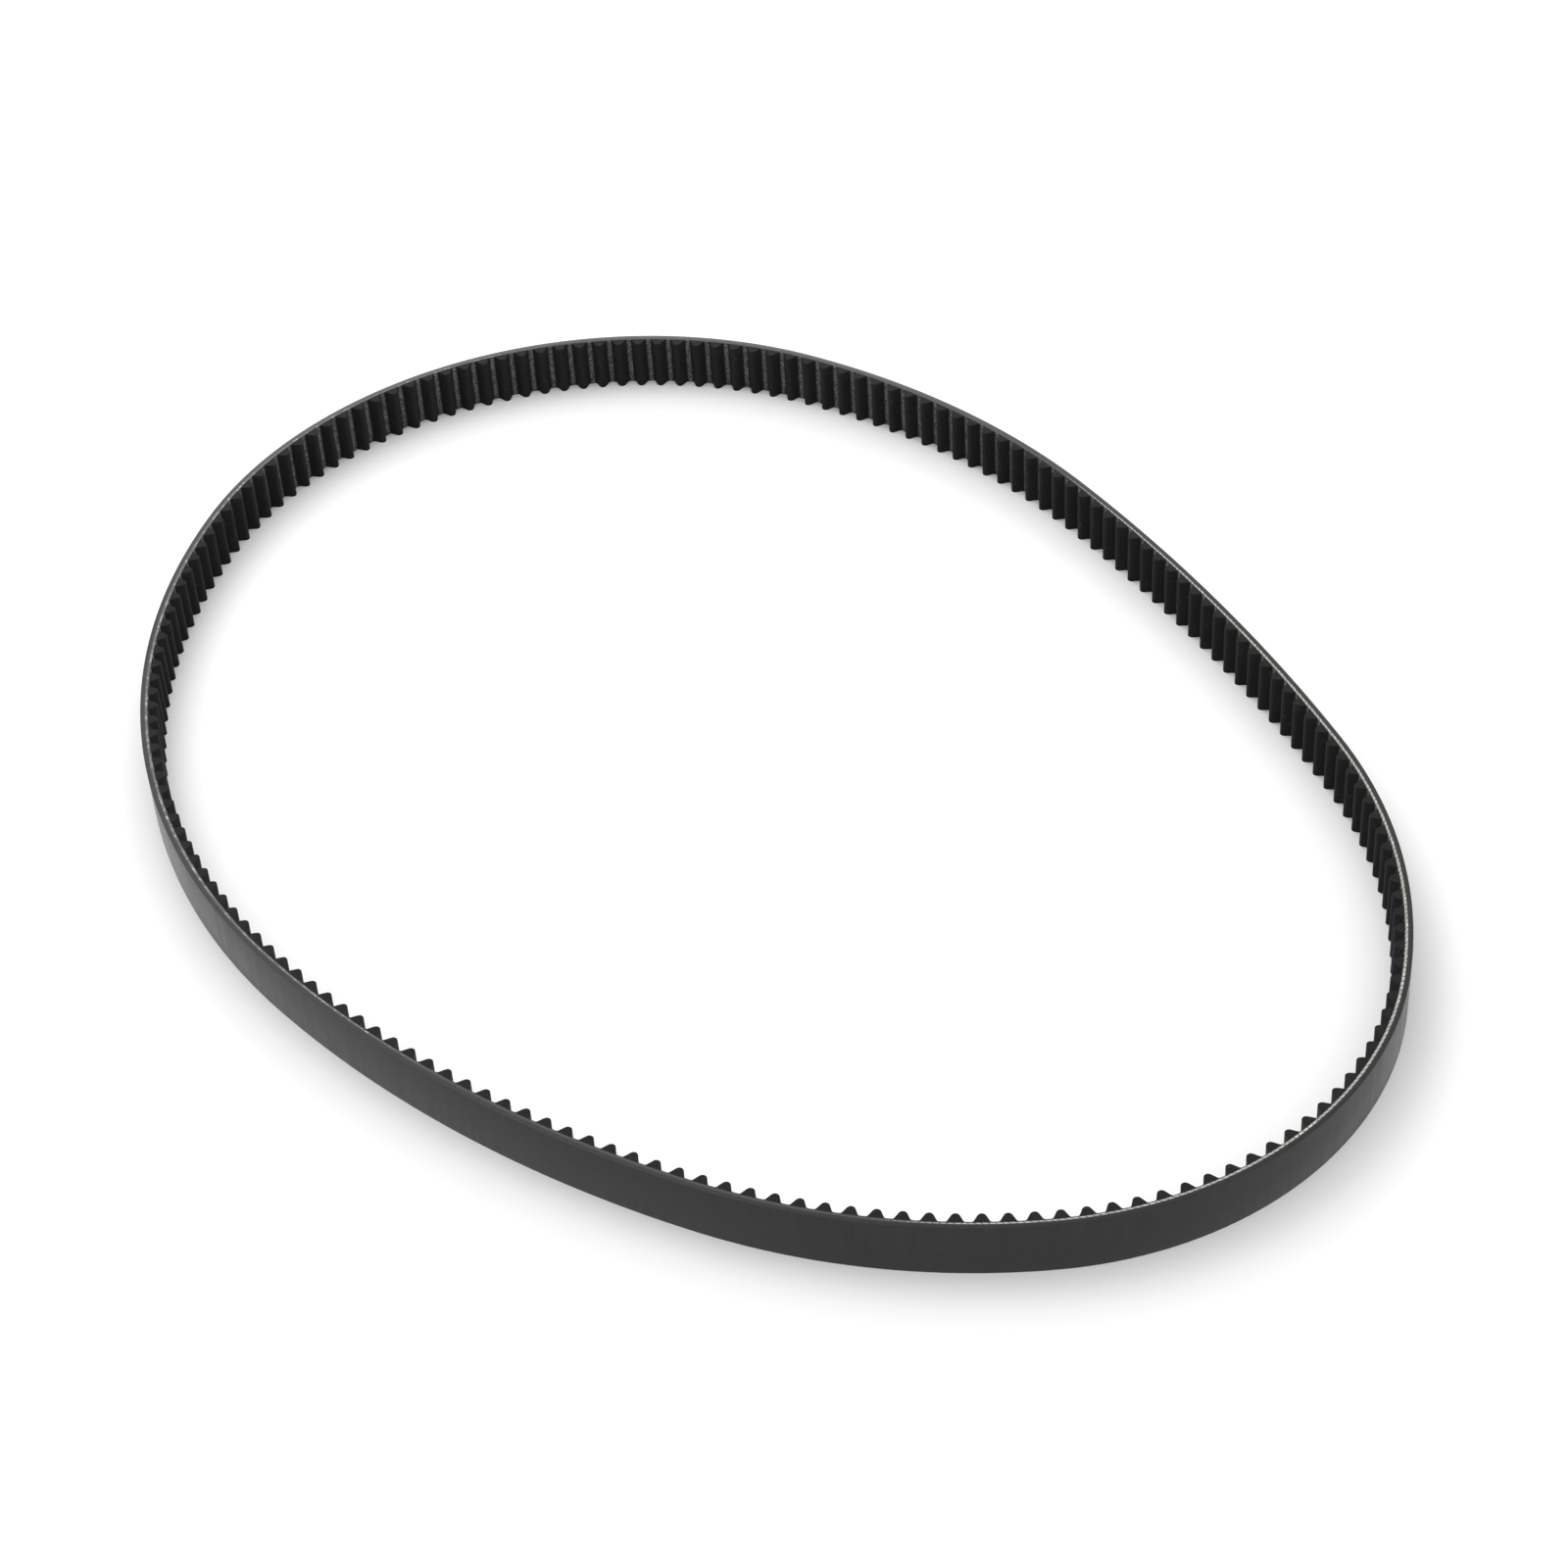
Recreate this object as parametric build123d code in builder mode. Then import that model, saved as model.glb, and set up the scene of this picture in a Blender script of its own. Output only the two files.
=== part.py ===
# An endless timing belt with round-nosed teeth, lying relaxed on its cut edge.
#
# The belt is a stack of bonded layers. From the outside in they are the back rubber, the gum that
# beds the tension cords, two counter-twisted cords wound side by side as long helices, and the
# teeth with the nylon that is moulded onto them.
#
# Millimetres. +Z runs across the belt's width, z = 0 is the lower slit edge, and X is the loop's
# long way. A level is a distance through the thickness: it is measured from the pitch line, which
# runs along the middle of the cords, positive towards the teeth and negative towards the back.
from build123d import *
from math import acos, cos, degrees, radians, sin, tan
import os

# ---------------------------------------------------------------- driving dimensions
tooth_pitch = 8.0             # tooth to tooth, along the pitch line
tooth_count = 178
belt_width = 20.0             # slit width, along Z
belt_thickness = 6.2          # back of the belt to tooth tip

tooth_height = 3.4            # tooth tip above the land between two teeth
tooth_tip_radius = 1.5
tooth_root_radius = 0.8
flank_angle = 27.0            # lean of each flank from the tooth's own axis, degrees

land_cover = 0.206            # tooth rubber and nylon between the gum and the land's surface
cord_diameter = 0.9
cord_cover = 0.03             # gum between a cord and the rubber on either side
cord_gap = 0.35               # gum between an S cord and the Z cord beside it
cord_edge_cover = 0.15        # rubber left between a cord's end and the slit edge beside it

# The loop as it lies: eight tangent arcs, counter-clockwise. The radii give its proportions and
# are scaled to the belt's length. The last arc turns through what is left of the full circle,
# and the last two radii are the ones that close the loop.
first_heading = 6.0           # degrees from +X, where the first arc starts
arc_turns = [24.0, 28.5, 72.5, 34.5, 12.5, 28.0, 100.0]
arc_radii = [418.0, 223.0, 128.0, 200.0, 785.0, 284.0]

# ---------------------------------------------------------------- levels through the thickness
gum_inner_level = cord_diameter / 2 + cord_cover
gum_outer_level = -gum_inner_level
land_level = gum_inner_level + land_cover
tip_level = land_level + tooth_height
back_level = tip_level - belt_thickness
cord_spacing = cord_diameter + cord_gap


# ---------------------------------------------------------------- the loop
def outward(heading):
    """Unit vector from the teeth to the back, where the loop runs in this direction."""
    return Vector(sin(radians(heading)), -cos(radians(heading)))


def closing_radii(steps):
    """Radii of the last two arcs that bring the loop back to where it started."""
    gap = Vector()
    for step, radius in zip(steps, arc_radii):
        gap += step * radius
    ahead, last = steps[-2:]
    area = ahead.cross(last).Z
    return [gap.cross(last).Z / -area, ahead.cross(gap).Z / -area]


turns = arc_turns + [360.0 - sum(arc_turns)]
headings = [first_heading]
for turn in turns:
    headings.append(headings[-1] + turn)
steps = [outward(end) - outward(start) for start, end in zip(headings, headings[1:])]

drawn_radii = arc_radii + closing_radii(steps)
drawn_length = sum(radius * radians(turn) for radius, turn in zip(drawn_radii, turns))
belt_length = tooth_count * tooth_pitch
radii = [radius * belt_length / drawn_length for radius in drawn_radii]
lengths = [radius * radians(turn) for radius, turn in zip(radii, turns)]

corners = [Vector()]          # where the arcs meet, on the pitch line
for radius, step in zip(radii, steps):
    corners.append(corners[-1] + step * radius)
centres = [corner - outward(heading) * radius
           for corner, heading, radius in zip(corners, headings, radii)]


def loop_wire(level):
    """The closed line that runs round the loop at this level."""
    with BuildLine() as outline:
        for centre, radius, heading, turn in zip(centres, radii, headings, turns):
            CenterArc(centre, radius - level, heading - 90, turn)
    return outline.wire()


middle = loop_wire(back_level).bounding_box().center()
corners = [corner - middle for corner in corners]
centres = [centre - middle for centre in centres]


def loop_frame(distance):
    """Point of the pitch line this far round the loop, and the outward direction there."""
    distance %= belt_length
    for centre, radius, heading, length in zip(centres, radii, headings, lengths):
        if distance < length:
            break
        distance -= length
    side = outward(heading + degrees(distance / radius))
    return centre + side * radius, side


# ---------------------------------------------------------------- the toothed outline
def flank_points(tooth_place, way, nose_centre):
    """Points up one flank: on the land, halfway round the root, at the flank's foot and its top."""
    lean = radians(flank_angle)
    rise = tooth_height - tooth_tip_radius - tooth_root_radius
    root_offset = (tooth_tip_radius + tooth_root_radius + rise * sin(lean)) / cos(lean)
    foot, side = loop_frame(tooth_place + way * root_offset)
    root_centre = foot - side * (land_level + tooth_root_radius)
    across = root_centre - nose_centre
    spread = degrees(acos((tooth_tip_radius + tooth_root_radius) / across.length))
    normal = across.normalized().rotate(Axis.Z, -way * spread)
    halfway = (side - normal).normalized()
    return [
        root_centre + side * tooth_root_radius,
        root_centre + halfway * tooth_root_radius,
        root_centre - normal * tooth_root_radius,
        nose_centre + normal * tooth_tip_radius,
    ]


def tooth_points(tooth_place):
    """Points of one tooth's outline, from the land before it to the land after it."""
    origin, side = loop_frame(tooth_place)
    nose_centre = origin - side * (tip_level - tooth_tip_radius)
    nose = nose_centre - side * tooth_tip_radius
    before = flank_points(tooth_place, -1, nose_centre)
    after = flank_points(tooth_place, 1, nose_centre)
    return before + [nose] + after[::-1]


def toothed_wire():
    """The closed line of the belt's toothed surface."""
    teeth = [tooth_points(tooth * tooth_pitch) for tooth in range(tooth_count)]
    edges = []
    for points, following in zip(teeth, teeth[1:] + teeth[:1]):
        with BuildLine() as outline:
            ThreePointArc(*points[0:3])
            Line(*points[2:4])
            ThreePointArc(*points[3:6])
            Line(*points[5:7])
            ThreePointArc(*points[6:9])
            Line(points[8], following[0])
        edges += outline.edges()
    return Wire(edges)


# ---------------------------------------------------------------- the tension cords
def cord_arcs(start_height):
    """Arcs of a cord's middle line: foot, head and direction. It climbs one lead in each turn.

    Each arc lies in a plane that tilts a little, so that neighbours share one slope where they
    meet. For that an arc climbs in proportion to the tangent of half its turn.
    """
    reaches = [2 * radius * tan(radians(turn) / 2) for radius, turn in zip(radii, turns)]
    slope = 2 * cord_spacing / sum(reaches)
    highest = belt_width - cord_edge_cover - cord_diameter / 2
    height = start_height
    arcs = []
    while True:
        for foot, head, heading, reach in zip(corners, corners[1:], headings, reaches):
            if height + slope * reach > highest:
                return arcs
            along = Vector(cos(radians(heading)), sin(radians(heading)), slope)
            low = foot + Vector(Z=height)
            height += slope * reach
            arcs.append((low, head + Vector(Z=height), along))


lowest_cord = cord_edge_cover + cord_diameter / 2
s_arcs = cord_arcs(lowest_cord)
z_arcs = cord_arcs(lowest_cord + cord_spacing)

with BuildPart() as tension_cord_s:
    with BuildLine() as s_middle:
        for low, high, along in s_arcs:
            TangentArc(low, high, tangent=along)
    with BuildSketch(Plane(s_arcs[0][0], z_dir=s_arcs[0][2])):
        Circle(cord_diameter / 2)
    sweep(path=s_middle.wire())

with BuildPart() as tension_cord_z:
    with BuildLine() as z_middle:
        for low, high, along in z_arcs:
            TangentArc(low, high, tangent=along)
    with BuildSketch(Plane(z_arcs[0][0], z_dir=z_arcs[0][2])):
        Circle(cord_diameter / 2)
    sweep(path=z_middle.wire())

# ---------------------------------------------------------------- the rubber
with BuildPart() as back_rubber:
    with BuildSketch(Plane.XY):
        add(Face(loop_wire(back_level), [loop_wire(gum_outer_level)]))
    extrude(amount=belt_width)

with BuildPart() as cord_gum:
    with BuildSketch(Plane.XY):
        add(Face(loop_wire(gum_outer_level), [loop_wire(gum_inner_level)]))
    extrude(amount=belt_width)
    add([tension_cord_s.part, tension_cord_z.part], mode=Mode.SUBTRACT)

with BuildPart() as tooth_rubber:
    with BuildSketch(Plane.XY):
        add(Face(loop_wire(gum_inner_level), [toothed_wire()]))
    extrude(amount=belt_width)

# ---------------------------------------------------------------- one file for each piece
back_rubber.part.label = "back_rubber"
cord_gum.part.label = "cord_gum"
tension_cord_s.part.label = "tension_cord_s"
tension_cord_z.part.label = "tension_cord_z"
tooth_rubber.part.label = "tooth_rubber"

os.makedirs("parts", exist_ok=True)
export_step(back_rubber.part, "parts/back_rubber.step")
export_step(cord_gum.part, "parts/cord_gum.step")
export_step(tension_cord_s.part, "parts/tension_cord_s.step")
export_step(tension_cord_z.part, "parts/tension_cord_z.step")
export_step(tooth_rubber.part, "parts/tooth_rubber.step")

print("loop radii", [round(radius, 1) for radius in radii], "pitch length", round(sum(lengths), 3))
print("loop closes within", (corners[-1] - corners[0]).length)
print("cord turns", len(s_arcs) / len(radii), len(z_arcs) / len(radii))
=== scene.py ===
# %% [markdown]
# # A timing belt, built layer by layer
#
# A timing belt is an endless rubber band with teeth on its inside. It drives one toothed pulley
# from another without slipping. Rubber alone would stretch, so the belt is a stack of bonded
# layers: back rubber outside, glass cords bedded in gum along the middle, and teeth of harder
# rubber under a jacket of woven nylon. A wide sleeve is made in a mould and then slit into belts,
# and that is why the layers can be read along the two flat edges.
#
# Each layer is made straight, as the sleeve would be if it were cut and rolled out, and is then
# carried round the loop in which the belt lies. All lengths are in metres.

# %% Load the CAD frame
import math

import bmesh
import bpy
from mathutils import Matrix, Vector


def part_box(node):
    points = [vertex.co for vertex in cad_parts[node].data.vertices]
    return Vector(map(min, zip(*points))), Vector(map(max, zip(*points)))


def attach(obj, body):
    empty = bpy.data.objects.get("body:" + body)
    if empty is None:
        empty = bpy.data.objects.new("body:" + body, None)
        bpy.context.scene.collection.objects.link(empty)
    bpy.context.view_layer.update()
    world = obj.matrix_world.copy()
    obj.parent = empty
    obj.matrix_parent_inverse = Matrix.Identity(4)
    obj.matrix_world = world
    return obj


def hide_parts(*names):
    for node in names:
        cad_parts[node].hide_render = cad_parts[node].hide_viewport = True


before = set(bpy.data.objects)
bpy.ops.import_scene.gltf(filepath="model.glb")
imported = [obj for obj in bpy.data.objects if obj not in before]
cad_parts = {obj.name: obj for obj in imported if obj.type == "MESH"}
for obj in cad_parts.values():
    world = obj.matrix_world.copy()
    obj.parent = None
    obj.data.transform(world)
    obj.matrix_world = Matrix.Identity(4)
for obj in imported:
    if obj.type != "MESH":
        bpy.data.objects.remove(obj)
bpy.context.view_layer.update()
print("CAD pieces:", sorted(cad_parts))

# %% [markdown]
# ## The loop
#
# A belt that lies free on a table is no circle: it keeps a memory of how it was packed. Here its
# loop is eight arcs that meet without a kink. An arc is a turn in degrees and a radius. The first
# six are chosen, and the last two radii are worked out so that the end meets the start. Then
# everything is scaled until the loop is exactly as long as its teeth need.

# %% The belt's own sizes
MM = 0.001
TOOTH_PITCH = 8.0 * MM
TOOTH_COUNT = 178
BELT_LENGTH = TOOTH_COUNT * TOOTH_PITCH
BELT_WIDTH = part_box("back_rubber")[1].z
print(f"{TOOTH_COUNT} teeth, {BELT_LENGTH * 1000:.0f} mm long, {BELT_WIDTH * 1000:.1f} mm wide")

# %% The eight arcs
FIRST_HEADING = 6.0
ARC_TURNS = [24.0, 28.5, 72.5, 34.5, 12.5, 28.0, 100.0]
ARC_RADII = [418.0, 223.0, 128.0, 200.0, 785.0, 284.0]


def outward(heading):
    """Direction from the teeth to the back, where the belt runs in this direction."""
    angle = math.radians(heading)
    return Vector((math.sin(angle), -math.cos(angle), 0))


turns = ARC_TURNS + [360 - sum(ARC_TURNS)]
headings = [FIRST_HEADING]
for turn in turns:
    headings.append(headings[-1] + turn)
steps = [outward(end) - outward(start) for start, end in zip(headings, headings[1:])]
gap = sum((step * radius for step, radius in zip(steps, ARC_RADII)), Vector())
ahead, last = steps[-2:]
area = ahead.cross(last).z
drawn_radii = ARC_RADII + [-gap.cross(last).z / area, -ahead.cross(gap).z / area]

drawn_length = sum(radius * math.radians(turn) for radius, turn in zip(drawn_radii, turns))
radii = [radius * BELT_LENGTH / drawn_length for radius in drawn_radii]
arc_lengths = [radius * math.radians(turn) for radius, turn in zip(radii, turns)]
print("arc radii in mm:", [round(radius * 1000, 1) for radius in radii])

# %% Where the arcs' centres are
corner = Vector()
centres = []
for radius, heading, step in zip(radii, headings, steps):
    centres.append(corner - outward(heading) * radius)
    corner = corner + step * radius


def loop_place(distance):
    """Point of the cord line this far round the loop, and the outward direction there."""
    distance %= BELT_LENGTH
    for centre, radius, heading, length in zip(centres, radii, headings, arc_lengths):
        if distance < length:
            break
        distance -= length
    side = outward(heading + math.degrees(distance / radius))
    return centre + side * radius, side


# %% [markdown]
# ## Levels through the thickness
#
# Belt makers measure everything from the pitch line, the middle of the cords, because that is the
# one line that keeps its length when the belt bends. A level here is a distance from it: towards
# the teeth is positive, towards the back is negative.

# %% Levels
CORD_RADIUS = 0.45 * MM
CORD_COVER = 0.03 * MM
LAND_COVER = 0.206 * MM
TOOTH_HEIGHT = 3.4 * MM
BELT_THICKNESS = 6.2 * MM
JACKET = 0.15 * MM
GUM_LEVEL = CORD_RADIUS + CORD_COVER
LAND_LEVEL = GUM_LEVEL + LAND_COVER
TIP_LEVEL = LAND_LEVEL + TOOTH_HEIGHT
BACK_LEVEL = TIP_LEVEL - BELT_THICKNESS

# %% Move the loop to the CAD pieces' place
STEP = TOOTH_PITCH / 2
STEPS_ROUND = 2 * TOOTH_COUNT
SAMPLES_PER_STEP = 4

samples = [place - side * BACK_LEVEL for place, side in
           (loop_place(index * STEP / SAMPLES_PER_STEP)
            for index in range(SAMPLES_PER_STEP * STEPS_ROUND))]
drawn_middle = Vector((
    (min(p.x for p in samples) + max(p.x for p in samples)) / 2,
    (min(p.y for p in samples) + max(p.y for p in samples)) / 2, 0))
low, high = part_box("back_rubber")
shift = Vector(((low.x + high.x) / 2, (low.y + high.y) / 2, 0)) - drawn_middle
centres = [centre + shift for centre in centres]
drawn_size = [max(p[k] for p in samples) - min(p[k] for p in samples) for k in (0, 1)]
print("loop in mm:", [round(size * 1000, 2) for size in drawn_size],
      "CAD:", [round(size * 1000, 2) for size in (high.x - low.x, high.y - low.y)])

# %% [markdown]
# ## Tools of the bench
#
# A straight layer has x along the belt, y through it (the level) and z across it. `spin` with no
# angle and an offset works as a repeated extrusion, and with `use_duplicate` as a row of copies.
# `lay_round_loop` then carries each vertex to its place on the loop. Layers share the same steps
# along the belt, half a tooth pitch, so neighbours touch exactly and leave no slits between them.
# A ring's two ends meet there and are welded. A cord has two free ends and isn't.
#
# The texture map keeps the straight belt's own lengths in metres. So a thread of the weave or a
# knife mark can follow the belt round its bends, which no flat projection could do.

# %% Bench tools
EDGE_ANGLE = math.radians(35)
WELD = 0.02 * MM


def vertices_of(geometry):
    """The vertices in what a bmesh operator gives back."""
    return [item for item in geometry if isinstance(item, bmesh.types.BMVert)]


def straight_run(bm, geometry, count, offset, copies=False):
    """Extrudes or copies the geometry count times, one offset further each time."""
    bmesh.ops.spin(bm, geom=geometry, cent=(0, 0, 0), axis=(0, 0, 1), angle=0, dvec=offset,
                   steps=count, use_duplicate=copies)


def mark_lengths(bm):
    """Writes the straight belt's own lengths into the texture map, in metres."""
    layer = bm.loops.layers.uv.verify()
    bm.normal_update()
    for face in bm.faces:
        across = abs(face.normal.z) > 0.7
        for loop in face.loops:
            co = loop.vert.co
            loop[layer].uv = (co.x, co.y if across else co.z)


def lay_round_loop(bm, weld_ends=True):
    """Carries a straight layer to its place on the loop, and welds a ring's two ends."""
    for vert in bm.verts:
        place, side = loop_place(vert.co.x)
        vert.co = place - side * vert.co.y + Vector((0, 0, vert.co.z))
    if weld_ends:
        bmesh.ops.remove_doubles(bm, verts=bm.verts, dist=WELD)


def finish_piece(bm, name, node, material):
    """Makes the object, gives it its finish and hides the CAD piece it stands for."""
    for face in bm.faces:
        face.smooth = True
    for edge in bm.edges:
        edge.smooth = edge.calc_face_angle(0) < EDGE_ANGLE
    open_edges = sum(not edge.is_manifold for edge in bm.edges)
    mesh = bpy.data.meshes.new(name)
    bm.to_mesh(mesh)
    bm.free()
    mesh.materials.append(material)
    piece = bpy.data.objects.new(name, mesh)
    bpy.context.scene.collection.objects.link(piece)
    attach(piece, "root")
    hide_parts(node)
    print(f"{name}: {len(mesh.polygons)} faces, {open_edges} open edges")
    return piece


# %% [markdown]
# ## Finishes that several layers share
#
# A shader node group is a finish made once and used in many materials. These give only values,
# which each material mixes into its own colour and roughness.

# %% Making node groups and materials
def new_group(name, inputs, outputs):
    """An empty shader node group; inputs are (name, default), outputs are names."""
    group = bpy.data.node_groups.new(name, "ShaderNodeTree")
    for socket_name, default in inputs:
        socket = group.interface.new_socket(socket_name, in_out="INPUT",
                                            socket_type="NodeSocketFloat")
        socket.default_value = default
    for socket_name in outputs:
        group.interface.new_socket(socket_name, in_out="OUTPUT", socket_type="NodeSocketFloat")
    return group, group.nodes.new("NodeGroupInput"), group.nodes.new("NodeGroupOutput")


def add_node(tree, kind, settings=None, **sockets):
    """A node with its settings, and its inputs set to values or linked to other sockets.

    An input is given by its name, or by its number after an i where several share a name.
    """
    node = tree.nodes.new(kind)
    for key, value in (settings or {}).items():
        setattr(node, key, value)
    for key, value in sockets.items():
        target = node.inputs[int(key[1:]) if key[1:].isdigit() else key]
        if isinstance(value, bpy.types.NodeSocket):
            tree.links.new(value, target)
        else:
            target.default_value = value
    return node


def maths(tree, operation, first, second=0.0, third=0.0):
    """The result socket of one sum."""
    node = add_node(tree, "ShaderNodeMath", {"operation": operation},
                    i0=first, i1=second, i2=third)
    return node.outputs[0]


def ramp(tree, value, start, end, to_start=0.0, to_end=1.0):
    """A value that goes smoothly from to_start to to_end as the input goes from start to end."""
    node = add_node(tree, "ShaderNodeMapRange", {"interpolation_type": "SMOOTHSTEP"},
                    i0=value, i1=start, i2=end, i3=to_start, i4=to_end)
    return node.outputs[0]


# %% [markdown]
# ### Rubber grain
#
# Cured rubber is never quite even. It has a fine grain and soft cloudy patches where it lay
# against the mould or was handled. Cloud is the slow change, Grain the fine one.

# %% Rubber grain
def make_rubber_grain():
    """The two patterns of cured rubber, each from 0 to 1."""
    group, given, result = new_group("rubber grain", [("Grain Size", 0.0006),
                                                      ("Cloud Size", 0.02)], ["Grain", "Cloud"])
    place = group.nodes.new("ShaderNodeTexCoord").outputs["Object"]
    for size, detail, name in (("Grain Size", 3.0, "Grain"), ("Cloud Size", 4.0, "Cloud")):
        scale = maths(group, "DIVIDE", 1.0, given.outputs[size])
        noise = add_node(group, "ShaderNodeTexNoise", Vector=place, Scale=scale, Detail=detail,
                         Roughness=0.6)
        group.links.new(ramp(group, noise.outputs["Fac"], 0.3, 0.7), result.inputs[name])
    return group


rubber_grain = make_rubber_grain()
print(rubber_grain.name, "has", len(rubber_grain.nodes), "nodes")


# %% [markdown]
# ### Knife marks
#
# The sleeve turns while a blade slits it, so each cut edge carries fine lines that run along the
# belt. They are noise drawn out along the first texture direction, the belt's length.

# %% Knife marks
def make_knife_marks():
    """The lines along a cut edge, and which faces are cut edges."""
    group, given, result = new_group("knife marks", [("Line Spacing", 0.0002),
                                                     ("Line Length", 0.03)], ["Lines", "On Edge"])
    lengths = group.nodes.new("ShaderNodeUVMap").outputs["UV"]
    split = add_node(group, "ShaderNodeSeparateXYZ", Vector=lengths)
    along = maths(group, "DIVIDE", split.outputs[0], given.outputs["Line Length"])
    across = maths(group, "DIVIDE", split.outputs[1], given.outputs["Line Spacing"])
    drawn = add_node(group, "ShaderNodeCombineXYZ", X=along, Y=across)
    noise = add_node(group, "ShaderNodeTexNoise", Vector=drawn.outputs[0], Scale=1.0, Detail=2.0)
    group.links.new(ramp(group, noise.outputs["Fac"], 0.3, 0.7), result.inputs["Lines"])
    facing = add_node(group, "ShaderNodeSeparateXYZ",
                      Vector=group.nodes.new("ShaderNodeNewGeometry").outputs["True Normal"])
    upright = maths(group, "ABSOLUTE", facing.outputs[2])
    group.links.new(ramp(group, upright, 0.6, 0.8), result.inputs["On Edge"])
    return group


knife_marks = make_knife_marks()
print(knife_marks.name, "has", len(knife_marks.nodes), "nodes")


# %% [markdown]
# ### Dust
#
# Black rubber shows every speck. Dust lies in small pale dots of uneven size, in loose groups.

# %% Dust
DUST_COLOUR = (0.2, 0.19, 0.18)


def make_dust():
    """Where a speck of dust lies: 1 on a speck, 0 elsewhere."""
    group, given, result = new_group("dust", [("Speck Size", 0.0012), ("Amount", 0.25)],
                                     ["Dust"])
    place = group.nodes.new("ShaderNodeTexCoord").outputs["Object"]
    scale = maths(group, "DIVIDE", 1.0, given.outputs["Speck Size"])
    specks = add_node(group, "ShaderNodeTexVoronoi", Vector=place, Scale=scale, Randomness=1.0)
    size = add_node(group, "ShaderNodeTexNoise", Vector=place, Scale=180.0, Detail=2.0)
    limit = maths(group, "MULTIPLY", size.outputs["Fac"], given.outputs["Amount"])
    dot = maths(group, "LESS_THAN", specks.outputs["Distance"], limit)
    chosen = maths(group, "GREATER_THAN", size.outputs["Fac"], 0.58)
    group.links.new(maths(group, "MULTIPLY", dot, chosen), result.inputs["Dust"])
    return group


dust = make_dust()
print(dust.name, "has", len(dust.nodes), "nodes")


# %% Helpers for the materials
def new_material(name, roughness, specular):
    """A material with its Principled shader, whose even values are set here."""
    material = bpy.data.materials.new(name)
    material.use_nodes = True
    shader = material.node_tree.nodes["Principled BSDF"]
    shader.inputs["Roughness"].default_value = roughness
    shader.inputs["Specular IOR Level"].default_value = specular
    return material, material.node_tree, shader


def place_group(tree, group, **values):
    """Puts a shared finish into a material, with this material's own values."""
    node = tree.nodes.new("ShaderNodeGroup")
    node.node_tree = group
    for key, value in values.items():
        node.inputs[key.replace("_", " ")].default_value = value
    return node.outputs


def blend_colours(tree, share, first, second):
    """The colour between two others; a colour is a socket or three numbers."""
    node = tree.nodes.new("ShaderNodeMix")
    node.data_type = "RGBA"
    tree.links.new(share, node.inputs["Factor"])
    for index, colour in ((6, first), (7, second)):
        if isinstance(colour, bpy.types.NodeSocket):
            tree.links.new(colour, node.inputs[index])
        else:
            node.inputs[index].default_value = (*colour, 1.0)
    return node.outputs[2]


def raise_surface(tree, shader, height, distance, strength=1.0):
    """Feeds a bump of this depth to the shader's normal."""
    bump = add_node(tree, "ShaderNodeBump", Height=height, Distance=distance, Strength=strength)
    tree.links.new(bump.outputs["Normal"], shader.inputs["Normal"])


# %% [markdown]
# ## Back rubber
#
# The back is a plain band that carries and protects the cords. Its outside was ground to
# thickness and has a satin sheen, with soft streaks across its width. Its slit edges are matt
# and a little lighter. On the real belt the knife leaves these corners sharp, but a sharp edge
# on a model never catches light, so they get the smallest of bevels.

# %% Back rubber: the finish
STREAKS_PER_METRE = (300.0, 28.0, 1.0)


def make_back_finish():
    """Ground rubber with streaks on the back, and knife marks on the slit edges."""
    material, tree, shader = new_material("back rubber", 0.5, 0.16)
    shader.inputs["Coat Weight"].default_value = 0.6
    shader.inputs["Coat Roughness"].default_value = 0.28
    shader.inputs["Coat IOR"].default_value = 1.35
    grain = place_group(tree, rubber_grain, Grain_Size=0.0005, Cloud_Size=0.03)
    marks = place_group(tree, knife_marks, Line_Spacing=0.00025)
    specks = place_group(tree, dust, Speck_Size=0.0016, Amount=0.2)
    lengths = tree.nodes.new("ShaderNodeUVMap").outputs["UV"]
    streaked = add_node(tree, "ShaderNodeMapping", Vector=lengths, Scale=STREAKS_PER_METRE)
    streak = add_node(tree, "ShaderNodeTexNoise", Vector=streaked.outputs[0], Scale=1.0,
                      Detail=4.0, Roughness=0.55)
    streaks = ramp(tree, streak.outputs["Fac"], 0.3, 0.7)
    ground = blend_colours(tree, streaks, (0.0045, 0.0043, 0.005), (0.0115, 0.011, 0.0118))
    cut = blend_colours(tree, marks["Lines"], (0.007, 0.0068, 0.007), (0.015, 0.0145, 0.015))
    rubber = blend_colours(tree, marks["On Edge"], ground, cut)
    cloudy = blend_colours(tree, maths(tree, "MULTIPLY", grain["Cloud"], 0.35), rubber,
                           (0.0135, 0.013, 0.0135))
    dusty = blend_colours(tree, maths(tree, "MULTIPLY", specks["Dust"], 0.2), cloudy,
                          DUST_COLOUR)
    tree.links.new(dusty, shader.inputs["Base Color"])
    satin = ramp(tree, streaks, 0.0, 1.0, 0.38, 0.5)
    matt = maths(tree, "MULTIPLY_ADD", marks["On Edge"], 0.25, satin)
    tree.links.new(matt, shader.inputs["Roughness"])
    fine = maths(tree, "ADD", grain["Grain"], maths(tree, "MULTIPLY", streaks, 0.6))
    cut_lines = maths(tree, "MULTIPLY", marks["Lines"], marks["On Edge"])
    raise_surface(tree, shader, maths(tree, "ADD", fine, cut_lines), 0.00003, 0.6)
    return material


# %% Back rubber: the band
CORNER_BEVEL = 0.1 * MM
BEVEL_SEGMENTS = 2


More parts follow.
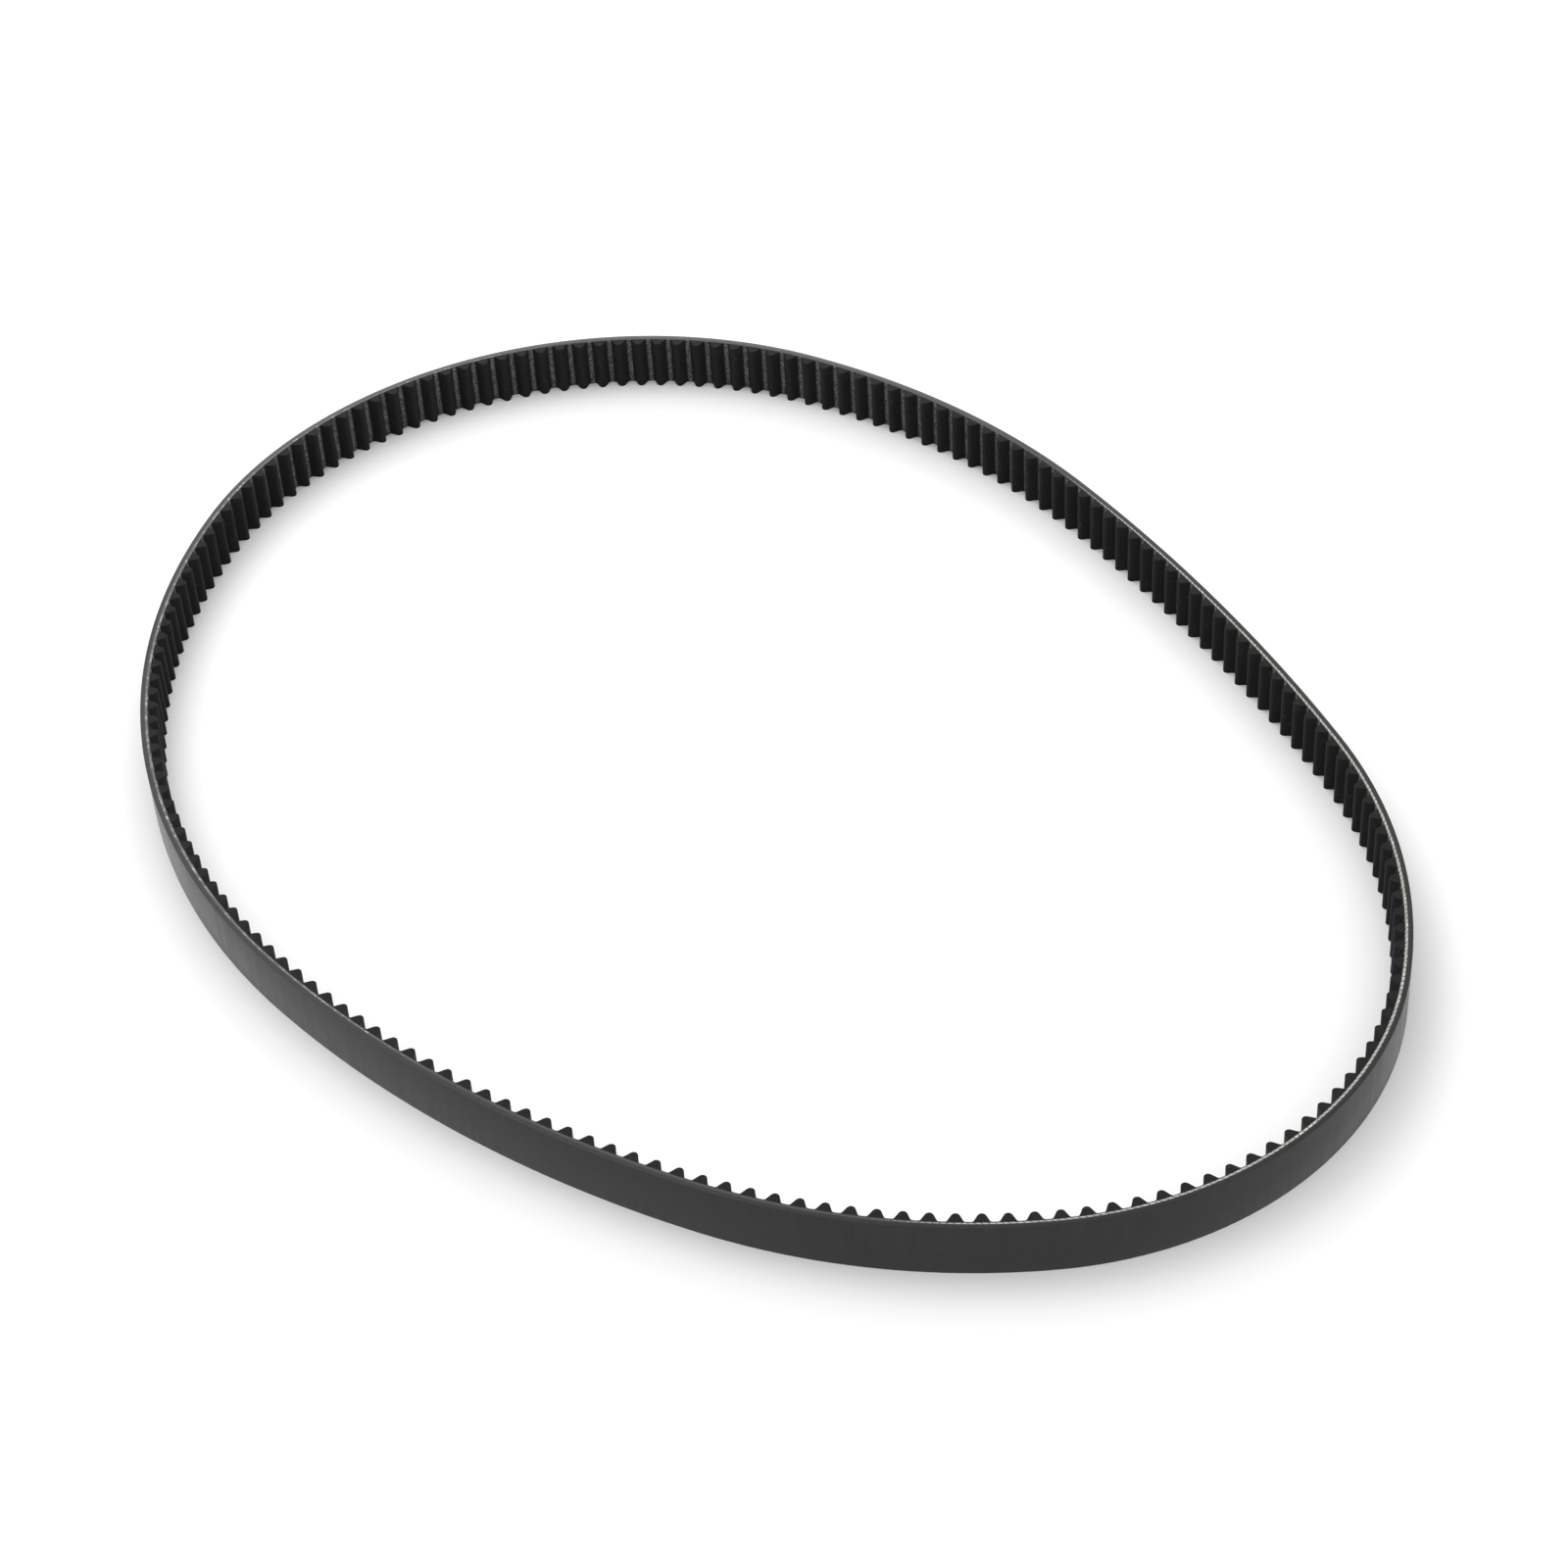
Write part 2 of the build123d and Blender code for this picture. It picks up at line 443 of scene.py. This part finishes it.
def make_band(outer, inner, bevel=0.0):
    """A straight band between two levels, across the belt's width, open at its two ends."""
    bm = bmesh.new()
    bmesh.ops.create_cube(bm, size=1)
    bmesh.ops.scale(bm, verts=bm.verts, vec=(STEP, inner - outer, BELT_WIDTH))
    bmesh.ops.translate(bm, verts=bm.verts,
                        vec=(STEP / 2, (inner + outer) / 2, BELT_WIDTH / 2))
    ends = [face for face in bm.faces if abs(face.normal.x) > 0.5]
    bmesh.ops.delete(bm, geom=ends, context="FACES")
    corners = [edge for edge in bm.edges
               if edge.is_manifold and all(v.co.y < outer + WELD for v in edge.verts)]
    if bevel:
        bmesh.ops.bevel(bm, geom=corners, offset=bevel, segments=BEVEL_SEGMENTS, profile=0.5,
                        affect="EDGES", material=-1)
    straight_run(bm, bm.verts[:] + bm.edges[:] + bm.faces[:],
                 STEPS_ROUND - 1, (STEP, 0, 0), True)
    bmesh.ops.remove_doubles(bm, verts=bm.verts, dist=WELD)
    return bm


back = make_band(BACK_LEVEL, -GUM_LEVEL, CORNER_BEVEL)
mark_lengths(back)
lay_round_loop(back)
finish_piece(back, "back_rubber_band", "back_rubber", make_back_finish())

# %% [markdown]
# ## Cord gum
#
# The cords are dipped in adhesive and bedded in a thin band of soft gum, which bonds them to the
# rubber on both sides. At the slit edge it shows as a fine line, a shade lighter and browner
# than the rubber.

# %% Cord gum: finish and band
def make_gum_finish():
    """Brownish gum with fine knife marks."""
    material, tree, shader = new_material("cord gum", 0.6, 0.4)
    grain = place_group(tree, rubber_grain, Grain_Size=0.0003, Cloud_Size=0.012)
    marks = place_group(tree, knife_marks, Line_Spacing=0.00018, Line_Length=0.012)
    gum = blend_colours(tree, marks["Lines"], (0.02, 0.019, 0.019), (0.06, 0.056, 0.053))
    cloudy = blend_colours(tree, maths(tree, "MULTIPLY", grain["Cloud"], 0.6), gum,
                           (0.04, 0.037, 0.036))
    tree.links.new(cloudy, shader.inputs["Base Color"])
    raise_surface(tree, shader, maths(tree, "ADD", grain["Grain"], marks["Lines"]), 0.00003, 0.6)
    return material


gum = make_band(-GUM_LEVEL, GUM_LEVEL)
mark_lengths(gum)
lay_round_loop(gum)
finish_piece(gum, "cord_gum_band", "cord_gum", make_gum_finish())

# %% [markdown]
# ## Tension cords
#
# Two glass cords are wound side by side round the sleeve, each as one long helix. One is twisted
# to the left and the other to the right, so their pulls cancel and the belt runs straight. The
# knife cuts level while the cords climb, so at each slit edge a cord comes out of the gum, shows
# its pale fibres over a third of the loop, and ends.
#
# So the cord is a straight tube that climbs one lead in each turn. It starts below the lower edge,
# ends above the upper one, and is bisected at both, with the cut filled. The cuts stand a hair
# proud of the slit edges, or the gum would hide them.

# %% Cords: the finish
STRAND_RISE = 1.4 * MM
STRAND_LENGTH = 2.1 * MM
FIBRE_LENGTH = 4 * MM
FIBRE_WIDTH = 0.07 * MM
SMEAR_SPREAD = 0.15


def make_cord_finish(name, twist, smear):
    """Twisted glass strands; twist is 1 or -1, and smear is how much gum hides them."""
    material, tree, shader = new_material(name, 0.62, 0.4)
    lengths = add_node(tree, "ShaderNodeSeparateXYZ",
                       Vector=tree.nodes.new("ShaderNodeUVMap").outputs["UV"])
    turned = maths(tree, "MULTIPLY_ADD", lengths.outputs[1], twist / STRAND_RISE,
                   maths(tree, "DIVIDE", lengths.outputs[0], STRAND_LENGTH))
    place = tree.nodes.new("ShaderNodeTexCoord").outputs["Object"]
    wobble = add_node(tree, "ShaderNodeTexNoise", Vector=place, Scale=420.0, Detail=3.0)
    phase = maths(tree, "MULTIPLY_ADD", wobble.outputs["Fac"], 0.7, turned)
    saw = maths(tree, "PINGPONG", phase, 0.5)
    strand = ramp(tree, saw, 0.03, 0.22)
    fibre_place = add_node(tree, "ShaderNodeCombineXYZ",
                           X=maths(tree, "DIVIDE", lengths.outputs[0], FIBRE_LENGTH),
                           Y=maths(tree, "DIVIDE", lengths.outputs[1], FIBRE_WIDTH))
    fibres = add_node(tree, "ShaderNodeTexNoise", Vector=fibre_place.outputs[0], Scale=1.0,
                      Detail=2.0)
    fibre = ramp(tree, fibres.outputs["Fac"], 0.3, 0.7)
    glass = blend_colours(tree, fibre, (0.28, 0.26, 0.235), (0.58, 0.555, 0.51))
    bedded = blend_colours(tree, strand, (0.09, 0.08, 0.07), glass)
    edge = 0.9 - smear
    gummed = ramp(tree, wobble.outputs["Fac"], edge - SMEAR_SPREAD, edge + SMEAR_SPREAD)
    smeared = blend_colours(tree, gummed, bedded, (0.11, 0.1, 0.092))
    tree.links.new(smeared, shader.inputs["Base Color"])
    raise_surface(tree, shader, maths(tree, "ADD", strand, fibre), 0.00005, 0.7)
    return material


# %% Cords: the helices
CORD_SIDES = 12
CORD_LEAD = 2.5 * MM
CUT_PROUD = 0.02 * MM
ON_THE_CUT = 0.002 * MM
S_SURFACES_AT = 486.3 * MM
Z_SURFACES_AT = S_SURFACES_AT + 0.53 * BELT_LENGTH


def make_cord(surfaces_at):
    """A cord whose middle meets the upper slit edge this far round the loop."""
    slope = CORD_LEAD / BELT_LENGTH
    below = math.ceil((BELT_WIDTH + 2 * CORD_RADIUS) / slope / STEP)
    first = round(surfaces_at / STEP) - below
    bm = bmesh.new()
    bmesh.ops.create_circle(bm, segments=CORD_SIDES, radius=CORD_RADIUS)
    bmesh.ops.rotate(bm, verts=bm.verts, cent=(0, 0, 0),
                     matrix=Matrix.Rotation(math.radians(90), 3, "Y"))
    start = (first * STEP, 0, BELT_WIDTH + (first * STEP - surfaces_at) * slope)
    bmesh.ops.translate(bm, verts=bm.verts, vec=start)
    count = below + math.ceil(2 * CORD_RADIUS / slope / STEP)
    straight_run(bm, bm.verts[:] + bm.edges[:], 1, (count * STEP, 0, count * STEP * slope))
    lengthways = [edge for edge in bm.edges if edge.calc_length() > STEP]
    bmesh.ops.subdivide_edges(bm, edges=lengthways, cuts=count - 1, use_grid_fill=True)
    bmesh.ops.recalc_face_normals(bm, faces=bm.faces)
    for height, upwards in ((BELT_WIDTH + CUT_PROUD, 1), (-CUT_PROUD, -1)):
        bmesh.ops.bisect_plane(bm, geom=bm.verts[:] + bm.edges[:] + bm.faces[:],
                               plane_co=(0, 0, height), plane_no=(0, 0, upwards),
                               clear_outer=True)
        rim = [edge for edge in bm.edges if edge.is_boundary
               and all(abs(v.co.z - height) < ON_THE_CUT for v in edge.verts)]
        bmesh.ops.holes_fill(bm, edges=rim, sides=0)
    bmesh.ops.recalc_face_normals(bm, faces=bm.faces)
    return bm


def mark_cord_lengths(bm):
    """Writes the distance along the belt and the level into the texture map."""
    layer = bm.loops.layers.uv.verify()
    for face in bm.faces:
        for loop in face.loops:
            loop[layer].uv = (loop.vert.co.x, loop.vert.co.y)


for name, node, surfaces_at, twist, smear in (
        ("s_tension_cord", "tension_cord_s", S_SURFACES_AT, 1, 0.15),
        ("z_tension_cord", "tension_cord_z", Z_SURFACES_AT, -1, 0.5)):
    cord = make_cord(surfaces_at)
    mark_cord_lengths(cord)
    lay_round_loop(cord, weld_ends=False)
    glass = make_cord_finish(name.replace("_", " ") + " glass", twist, smear)
    finish_piece(cord, name, node, glass)

# %% [markdown]
# ## Teeth
#
# A tooth is a rounded triangle. Its line is drawn like a pen drawing: half the land, a turn round
# the root, up the flank, round the nose and down again. A turn is a spin of the last vertex.
# Drawn at a depth below the surface, the same pen strokes give the rubber under the jacket.

# %% The tooth's line
NOSE_RADIUS = 1.5 * MM
ROOT_RADIUS = 0.8 * MM
FLANK_LEAN = math.radians(27)
RISE = TOOTH_HEIGHT - NOSE_RADIUS - ROOT_RADIUS
ROOT_X = (NOSE_RADIUS + ROOT_RADIUS + RISE * math.sin(FLANK_LEAN)) / math.cos(FLANK_LEAN)
FLANK_LENGTH = ((RISE + (NOSE_RADIUS + ROOT_RADIUS) * math.sin(FLANK_LEAN))
                / math.cos(FLANK_LEAN))
ROOT_STEPS = 3
NOSE_STEPS = 6
print(f"flank {FLANK_LENGTH / MM:.2f} mm long, {2 * ROOT_X / MM:.2f} mm between the roots")


def draw_line(bm, start, offset):
    """Draws on from this vertex in a straight line, and gives the vertex at its end."""
    end = bmesh.ops.extrude_vert_indiv(bm, verts=[start])["verts"][0]
    bmesh.ops.translate(bm, verts=[end], vec=offset)
    return end


def draw_turn(bm, start, centre, angle, count):
    """Draws on from this vertex round a centre, and gives the vertex at its end."""
    drawn = bmesh.ops.spin(bm, geom=[start], cent=centre, axis=(0, 0, 1), angle=angle,
                           steps=count, use_duplicate=False)
    return vertices_of(drawn["geom_last"])[0]


def draw_tooth(bm, depth):
    """Draws one tooth's line this deep under its surface, from mid-land to mid-land."""
    pen = bmesh.ops.create_vert(bm, co=(-STEP, LAND_LEVEL - depth, 0))["vert"][0]
    swing = math.radians(90) - FLANK_LEAN
    run = FLANK_LENGTH * math.sin(FLANK_LEAN)
    climb = FLANK_LENGTH * math.cos(FLANK_LEAN)
    pen = draw_line(bm, pen, (STEP - ROOT_X, 0, 0))
    pen = draw_turn(bm, pen, (-ROOT_X, LAND_LEVEL + ROOT_RADIUS, 0), swing, ROOT_STEPS)
    pen = draw_line(bm, pen, (run, climb, 0))
    pen = draw_turn(bm, pen, (0, TIP_LEVEL - NOSE_RADIUS, 0), -2 * swing, NOSE_STEPS)
    pen = draw_line(bm, pen, (run, -climb, 0))
    pen = draw_turn(bm, pen, (ROOT_X, LAND_LEVEL + ROOT_RADIUS, 0), swing, ROOT_STEPS)
    return draw_line(bm, pen, (STEP - ROOT_X, 0, 0))


# %% [markdown]
# ### Tooth rubber
#
# One tooth is a closed outline that is filled and extruded across the belt. Its two end walls
# are taken away before it is repeated, so that the row becomes one ring without inner walls.

# %% Tooth rubber: the finish
def make_tooth_rubber_finish():
    """Matt rubber, seen where the knife has cut through the teeth."""
    material, tree, shader = new_material("tooth rubber", 0.75, 0.16)
    grain = place_group(tree, rubber_grain, Grain_Size=0.0004, Cloud_Size=0.01)
    marks = place_group(tree, knife_marks, Line_Spacing=0.0003, Line_Length=0.006)
    specks = place_group(tree, dust, Speck_Size=0.0012, Amount=0.3)
    rubber = blend_colours(tree, marks["Lines"], (0.0045, 0.0045, 0.005), (0.01, 0.0098, 0.0105))
    cloudy = blend_colours(tree, maths(tree, "MULTIPLY", grain["Cloud"], 0.4), rubber,
                           (0.012, 0.0118, 0.0122))
    dusty = blend_colours(tree, maths(tree, "MULTIPLY", specks["Dust"], 0.15), cloudy,
                          DUST_COLOUR)
    tree.links.new(dusty, shader.inputs["Base Color"])
    raise_surface(tree, shader, maths(tree, "ADD", grain["Grain"], marks["Lines"]), 0.00004, 0.7)
    return material


# %% Tooth rubber: one tooth
teeth = bmesh.new()
line_end = draw_tooth(teeth, JACKET)
for offset in ((0, GUM_LEVEL - LAND_LEVEL + JACKET, 0), (-STEP, 0, 0), (-STEP, 0, 0)):
    line_end = draw_line(teeth, line_end, offset)
start_place = Vector((-STEP, LAND_LEVEL - JACKET, 0))
line_start = min(teeth.verts, key=lambda vert: (vert.co - start_place).length)
bmesh.ops.contextual_create(teeth, geom=[line_end, line_start])
outline = bmesh.ops.contextual_create(teeth, geom=teeth.edges[:])["faces"]
raised = bmesh.ops.extrude_face_region(teeth, geom=outline, use_keep_orig=True)["geom"]
bmesh.ops.translate(teeth, verts=vertices_of(raised), vec=(0, 0, BELT_WIDTH))
bmesh.ops.recalc_face_normals(teeth, faces=teeth.faces)
end_walls = [face for face in teeth.faces
             if abs(face.normal.x) > 0.99 and abs(face.calc_center_median().x) > STEP - WELD]
bmesh.ops.delete(teeth, geom=end_walls, context="FACES")
print(f"one tooth: {len(teeth.faces)} faces, {len(end_walls)} end walls taken away")

# %% Tooth rubber: the ring
straight_run(teeth, teeth.verts[:] + teeth.edges[:] + teeth.faces[:], TOOTH_COUNT - 1,
             (TOOTH_PITCH, 0, 0), True)
bmesh.ops.remove_doubles(teeth, verts=teeth.verts, dist=WELD)
mark_lengths(teeth)
lay_round_loop(teeth)
finish_piece(teeth, "tooth_rubber_ring", "tooth_rubber",
             make_tooth_rubber_finish())

# %% [markdown]
# ### Nylon facing
#
# The jacket is a stretchy twill that the rubber pressed into the mould's grooves. Its texture map
# follows the cloth itself, up and down over each tooth, so the threads keep their size on flanks
# and noses. A whole number of weaves goes into one tooth, and the pattern joins without a seam.

# %% Nylon facing: the weave
def make_twill():
    """The height of the threads, and the gaps between them."""
    group, given, result = new_group("twill", [("Thread", 0.0004)], ["Thread Height", "Between"])
    lengths = add_node(group, "ShaderNodeSeparateXYZ",
                       Vector=group.nodes.new("ShaderNodeUVMap").outputs["UV"])
    along = maths(group, "DIVIDE", lengths.outputs[0], given.outputs["Thread"])
    across = maths(group, "DIVIDE", lengths.outputs[1], given.outputs["Thread"])
    diagonal = maths(group, "ADD", along, across)
    wale = maths(group, "MULTIPLY", maths(group, "PINGPONG", diagonal, 0.5), 2.0)
    twice_across = maths(group, "MULTIPLY", across, 2.0)
    pick = maths(group, "MULTIPLY", maths(group, "PINGPONG", twice_across, 0.5), 2.0)
    height = maths(group, "MULTIPLY_ADD", pick, 0.4, wale)
    group.links.new(height, result.inputs["Thread Height"])
    group.links.new(ramp(group, wale, 0.35, 0.1), result.inputs["Between"])
    return group


twill = make_twill()
print(twill.name, "has", len(twill.nodes), "nodes")

# %% Nylon facing: the strip over one tooth
WEAVES_PER_TOOTH = 27

jacket = bmesh.new()
draw_tooth(jacket, 0.0)
cloth_length = jacket.verts.layers.float.new("cloth length")
chain = sorted(jacket.verts, key=lambda vert: vert.co.x)
for before, after in zip(chain, chain[1:]):
    after[cloth_length] = before[cloth_length] + (after.co - before.co).length
cloth_over_tooth = chain[-1][cloth_length]
thread = cloth_over_tooth / WEAVES_PER_TOOTH
print(f"cloth over one tooth {cloth_over_tooth * 1000:.2f} mm, weave {thread * 1000:.3f} mm")

# %% Nylon facing: the finish
PALE_LAND_STARTS = 1.2 * MM
PALE_LAND_FULL = 0.4 * MM


def make_facing_finish():
    """Dark twill, rubbed in patches, and paler and uneven on the lands between the teeth."""
    material, tree, shader = new_material("nylon facing", 0.72, 0.14)
    cloth = place_group(tree, twill, Thread=thread)
    grain = place_group(tree, rubber_grain, Grain_Size=0.0007, Cloud_Size=0.015)
    specks = place_group(tree, dust, Speck_Size=0.0014, Amount=0.35)
    lengths = add_node(tree, "ShaderNodeSeparateXYZ",
                       Vector=tree.nodes.new("ShaderNodeUVMap").outputs["UV"])
    half = cloth_over_tooth / 2
    to_middle = maths(tree, "ABSOLUTE", maths(tree, "SUBTRACT", lengths.outputs[0], half))
    on_land = ramp(tree, to_middle, half - PALE_LAND_STARTS, half - PALE_LAND_FULL)
    nylon = blend_colours(tree, cloth["Between"], (0.0065, 0.0063, 0.0075),
                          (0.0025, 0.0025, 0.003))
    rubbed = blend_colours(tree, maths(tree, "MULTIPLY", grain["Cloud"], 0.5), nylon,
                           (0.0095, 0.009, 0.01))
    # The lands between the teeth get a paler, uneven colour.
    land_paleness = maths(tree, "MULTIPLY", on_land, ramp(tree, grain["Grain"], 0.3, 0.8, 0.25, 1.0))
    with_pale_lands = blend_colours(tree, land_paleness, rubbed, (0.15, 0.136, 0.125))
    dusty = blend_colours(tree, maths(tree, "MULTIPLY", specks["Dust"], 0.12), with_pale_lands,
                          DUST_COLOUR)
    tree.links.new(dusty, shader.inputs["Base Color"])
    shader.inputs["Sheen Weight"].default_value = 0.02
    shader.inputs["Sheen Roughness"].default_value = 0.5
    raise_surface(tree, shader, cloth["Thread Height"], 0.00008, 0.7)
    return material


# %% Nylon facing: the jacket round the loop
raised = bmesh.ops.extrude_edge_only(jacket, edges=jacket.edges[:])["geom"]
bmesh.ops.translate(jacket, verts=vertices_of(raised), vec=(0, 0, BELT_WIDTH))
cloth_map = jacket.loops.layers.uv.verify()
for face in jacket.faces:
    for loop in face.loops:
        loop[cloth_map].uv = (loop.vert[cloth_length], loop.vert.co.z)
jacket.normal_update()
turned_in = [face for face in jacket.faces if face.normal.y < 0]
bmesh.ops.reverse_faces(jacket, faces=turned_in)
straight_run(jacket, jacket.verts[:] + jacket.edges[:] + jacket.faces[:], TOOTH_COUNT - 1,
             (TOOTH_PITCH, 0, 0), True)
bmesh.ops.remove_doubles(jacket, verts=jacket.verts, dist=WELD)
lay_round_loop(jacket)
jacket.normal_update()
bmesh.ops.solidify(jacket, geom=jacket.faces[:], thickness=JACKET)
finish_piece(jacket, "nylon_jacket", "tooth_rubber", make_facing_finish())

# %% [markdown]
# ## The studio
#
# The belt stands on a pale floor that runs out of sight. Two wide soft lights stand behind it: one
# high, for the satin of the back, and one lower, for a sheen along the far slit edges. A white
# sky fills the shadows.

# %% Floor
FLOOR_HALF_SIZE = 25
FLOOR_COLOUR = (0.9, 0.9, 0.9, 1)

floor_mesh = bpy.data.meshes.new("floor")
floor_bm = bmesh.new()
bmesh.ops.create_grid(floor_bm, x_segments=1, y_segments=1, size=FLOOR_HALF_SIZE)
floor_bm.to_mesh(floor_mesh)
floor_bm.free()
floor_material, floor_tree, floor_shader = new_material("pale floor", 0.9, 0.1)
floor_shader.inputs["Base Color"].default_value = FLOOR_COLOUR
floor_mesh.materials.append(floor_material)
floor = bpy.data.objects.new("floor", floor_mesh)
bpy.context.scene.collection.objects.link(floor)
print(f"floor {2 * FLOOR_HALF_SIZE} m on a side")

# %% Sky
SKY_STRENGTH = 1.08

world = bpy.data.worlds.new("studio")
world.use_nodes = True
sky = world.node_tree.nodes["Background"]
sky.inputs["Color"].default_value = (1, 1, 1, 1)
sky.inputs["Strength"].default_value = SKY_STRENGTH
bpy.context.scene.world = world


# %% Lights
def add_light(name, place, size, power):
    """A square soft light, so many metres wide and watts strong, that faces the loop's middle."""
    light = bpy.data.lights.new(name, "AREA")
    light.size = size
    light.energy = power
    lamp = bpy.data.objects.new(name, light)
    lamp.location = place
    lamp.rotation_euler = (-Vector(place)).to_track_quat("-Z", "Y").to_euler()
    bpy.context.scene.collection.objects.link(lamp)
    print(f"{name} light {Vector(place).length:.2f} m away, {power} W")


add_light("key", (-1.1, -0.3, 1.6), 1.3, 10)
add_light("rim", (-1.75, 0.95, 0.95), 1.2, 12)

# %% Camera
LENS = 81.32
SENSOR_WIDTH = 36
EYE = Vector((0.80211, -0.50116, 0.81396))
RIGHT = Vector((0.57910, 0.81368, -0.05066))
UP = Vector((-0.51114, 0.41078, 0.75498))
camera_data = bpy.data.cameras.new("camera")
camera_data.lens = LENS
camera_data.sensor_width = SENSOR_WIDTH
camera = bpy.data.objects.new("camera", camera_data)
frame_axes = Matrix((RIGHT, UP, RIGHT.cross(UP))).transposed().to_4x4()
camera.matrix_world = Matrix.Translation(EYE) @ frame_axes
bpy.context.scene.collection.objects.link(camera)
bpy.context.scene.camera = camera
bpy.context.scene.view_settings.view_transform = "Standard"
print(f"camera {EYE.length:.2f} m from the loop's middle, {LENS} mm lens")
